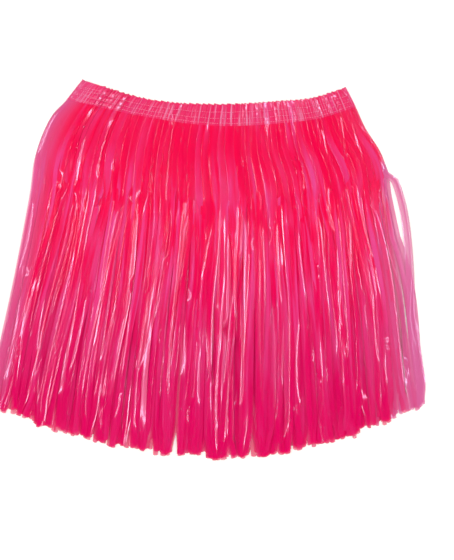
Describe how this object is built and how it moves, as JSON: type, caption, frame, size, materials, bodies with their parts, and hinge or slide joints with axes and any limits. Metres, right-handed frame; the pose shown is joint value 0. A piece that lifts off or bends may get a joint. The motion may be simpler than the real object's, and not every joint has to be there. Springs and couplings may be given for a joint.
{
  "type": "grass skirt of slit plastic film, laid flat",
  "caption": "Child's hula skirt of pink plastic film, laid flat: gathered elastic waistband with sewn rows, a short whole yoke, and long slit strips down to a ragged hem.",
  "frame": {"origin": "on the table, under the middle of the laid skirt's box", "axes": "+X across the skirt to the picture's right, +Y up the skirt to its waist, +Z out of the table through the front"},
  "size_m": [0.4462, 0.3842, 0.0143],
  "materials": {
    "film": "thin glossy polyethylene film, see-through in one layer and deep pink in several, with creases",
    "gathered_film": "the same film gathered over elastic, with fine shining puckers",
    "thread": "pale pink polyester sewing thread"
  },
  "bodies": {
    "root": {"waistband_back": "gathered_film", "waistband_front": "gathered_film", "yoke_back_outer": "film", "fringe_back_outer": "film", "yoke_back_inner": "film", "fringe_back_inner": "film", "yoke_front_inner": "film", "fringe_front_inner": "film", "yoke_front_outer": "film", "fringe_front_outer": "film"}
  },
  "joints": []
}
